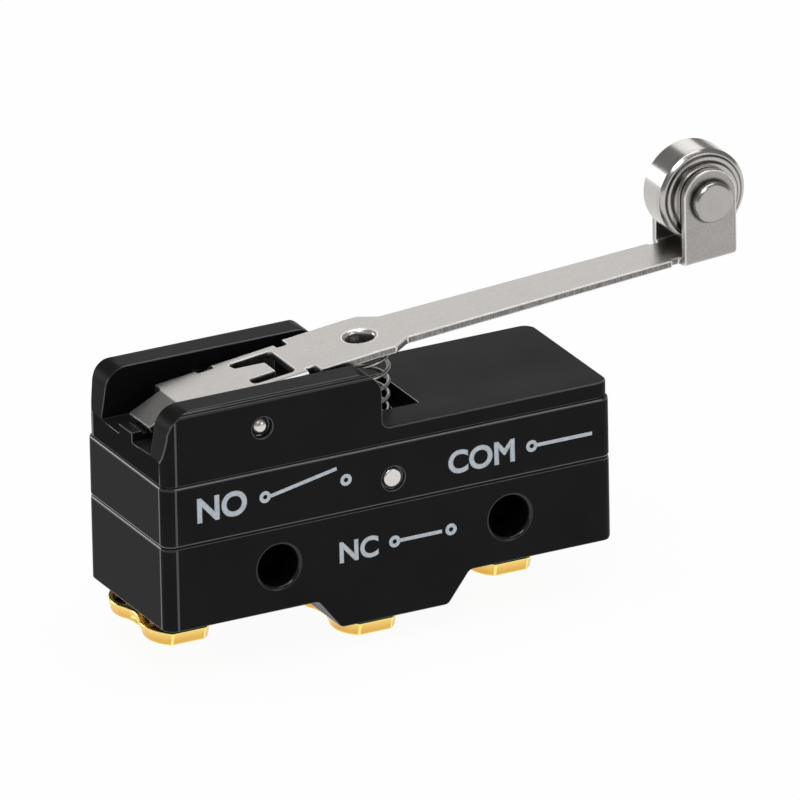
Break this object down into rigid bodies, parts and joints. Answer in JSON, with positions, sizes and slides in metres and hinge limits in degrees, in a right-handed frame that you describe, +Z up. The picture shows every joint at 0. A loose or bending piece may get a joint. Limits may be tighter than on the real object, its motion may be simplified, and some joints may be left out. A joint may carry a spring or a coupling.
{
  "type": "lever micro switch",
  "caption": "Snap-action switch with a moulded body, screw terminals underneath and a long hinged steel lever that carries a roller.",
  "frame": {"origin": "midway between the two mounting holes, on their centre line and on the mid-plane of the body", "axes": "+X along the body towards the roller, +Y along the mounting holes towards the back, +Z up, away from the terminals"},
  "size_m": [0.0679, 0.0174, 0.0417],
  "materials": {
    "body_black": "semi-gloss moulded phenolic",
    "plunger_plastic": "satin moulded",
    "lever_steel": "satin rolled sheet",
    "roller_steel": "turned and polished",
    "rivet_steel": "turned and formed",
    "pin_steel": "plain",
    "spring_steel": "drawn wire",
    "screw_steel": "nickel plated",
    "terminal_brass": "satin strip",
    "cup_brass": "bright pressed",
    "blade_copper": "satin spring sheet",
    "contact_silver": "satin"
  },
  "bodies": {
    "case": {"lower_case": "body_black", "middle_case": "body_black", "top_housing": "body_black", "pivot_pin": "pin_steel", "cover_pin": "pin_steel", "return_spring": "spring_steel", "no_contact": "contact_silver", "nc_contact": "contact_silver", "blade_rivet": "terminal_brass", "blade_saddle": "terminal_brass", "com_terminal": "terminal_brass", "no_terminal": "terminal_brass", "nc_terminal": "terminal_brass", "com_washer": "cup_brass", "no_washer": "cup_brass", "nc_washer": "cup_brass", "com_screw": "screw_steel", "no_screw": "screw_steel", "nc_screw": "screw_steel"},
    "lever": {"lever": "lever_steel", "roller_rivet": "rivet_steel"},
    "roller": {"roller": "roller_steel"},
    "plunger": {"plunger": "plunger_plastic"},
    "blade": {"snap_blade": "blade_copper", "moving_contact": "contact_silver"}
  },
  "joints": [
    {"name": "lever_pivot", "type": "hinge", "parent": "case", "child": "lever", "pos_m": [-0.0141, 0, 0.0149], "axis": [0, 1, 0], "range_deg": [0, 6.2], "stiffness_Nm_per_rad": 0.15, "springref_deg": -17.19, "deforming": ["return_spring"]},
    {"name": "roller_spin", "type": "hinge", "parent": "lever", "child": "roller", "pos_m": [0.0381, 0, 0.02669], "axis": [0, 1, 0], "continuous": true},
    {"name": "plunger_slide", "type": "slide", "parent": "case", "child": "plunger", "axis": [0, 0, -1], "range_m": [0, 0.00056]},
    {"name": "blade_rock", "type": "hinge", "parent": "case", "child": "blade", "pos_m": [0.015, 0, 0.00484], "axis": [0, -1, 0], "range_deg": [0, 1.35]}
  ],
  "couplings": [
    {"joint": "plunger_slide", "follows": "lever_pivot", "m_per_rad": 0.005},
    {"joint": "blade_rock", "follows": "lever_pivot", "ratio": 0.2075}
  ]
}
